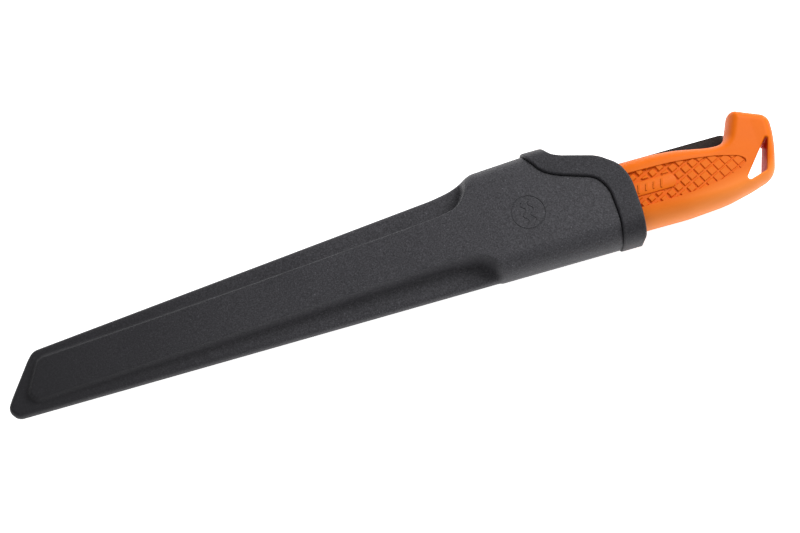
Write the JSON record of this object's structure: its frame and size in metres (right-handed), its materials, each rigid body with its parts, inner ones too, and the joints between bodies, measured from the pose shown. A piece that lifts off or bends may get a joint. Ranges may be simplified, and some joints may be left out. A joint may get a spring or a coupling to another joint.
{
  "type": "rigging knife",
  "caption": "Long fixed-blade work knife in a moulded sheath: stainless blade, bright grip with a hooked pommel and lanyard eye, proud mouth collar and a riveted belt loop behind.",
  "frame": {"origin": "centre of the flat outer face of the belt loop, at the back of the sheath", "axes": "+X from the sheath's tip to the pommel, the way the knife draws; +Y towards the cutting edge, the finger guard and the pommel's hook; +Z out of the front face, so the belt loop's outer face lies on Z = 0"},
  "size_m": [0.3367, 0.0508, 0.038],
  "materials": {
    "sheath_plastic": "fine grained moulding, charcoal grey",
    "collar_plastic": "fine grained moulding, charcoal grey",
    "loop_plastic": "tough flexible plastic, near black",
    "rivet_metal": "black oxide",
    "blade_steel": "satin ground",
    "core_plastic": "hard nylon, deep orange",
    "grip_rubber": "soft matte overmould, orange",
    "panel_rubber": "soft matte overmould, knurled, orange"
  },
  "bodies": {
    "sheath": {"sheath_front_shell": "sheath_plastic", "sheath_back_shell": "sheath_plastic", "mouth_collar": "collar_plastic", "belt_loop": "loop_plastic", "rivet_first": "rivet_metal", "rivet_second": "rivet_metal", "washer_first": "rivet_metal", "washer_second": "rivet_metal"},
    "knife": {"blade": "blade_steel", "handle_core": "core_plastic", "handle_grip": "grip_rubber", "knurled_panel_front": "panel_rubber", "knurled_panel_back": "panel_rubber"}
  },
  "joints": [
    {"name": "knife_draw", "type": "slide", "parent": "sheath", "child": "knife", "axis": [1, 0, 0], "range_m": [0, 0.27]}
  ]
}
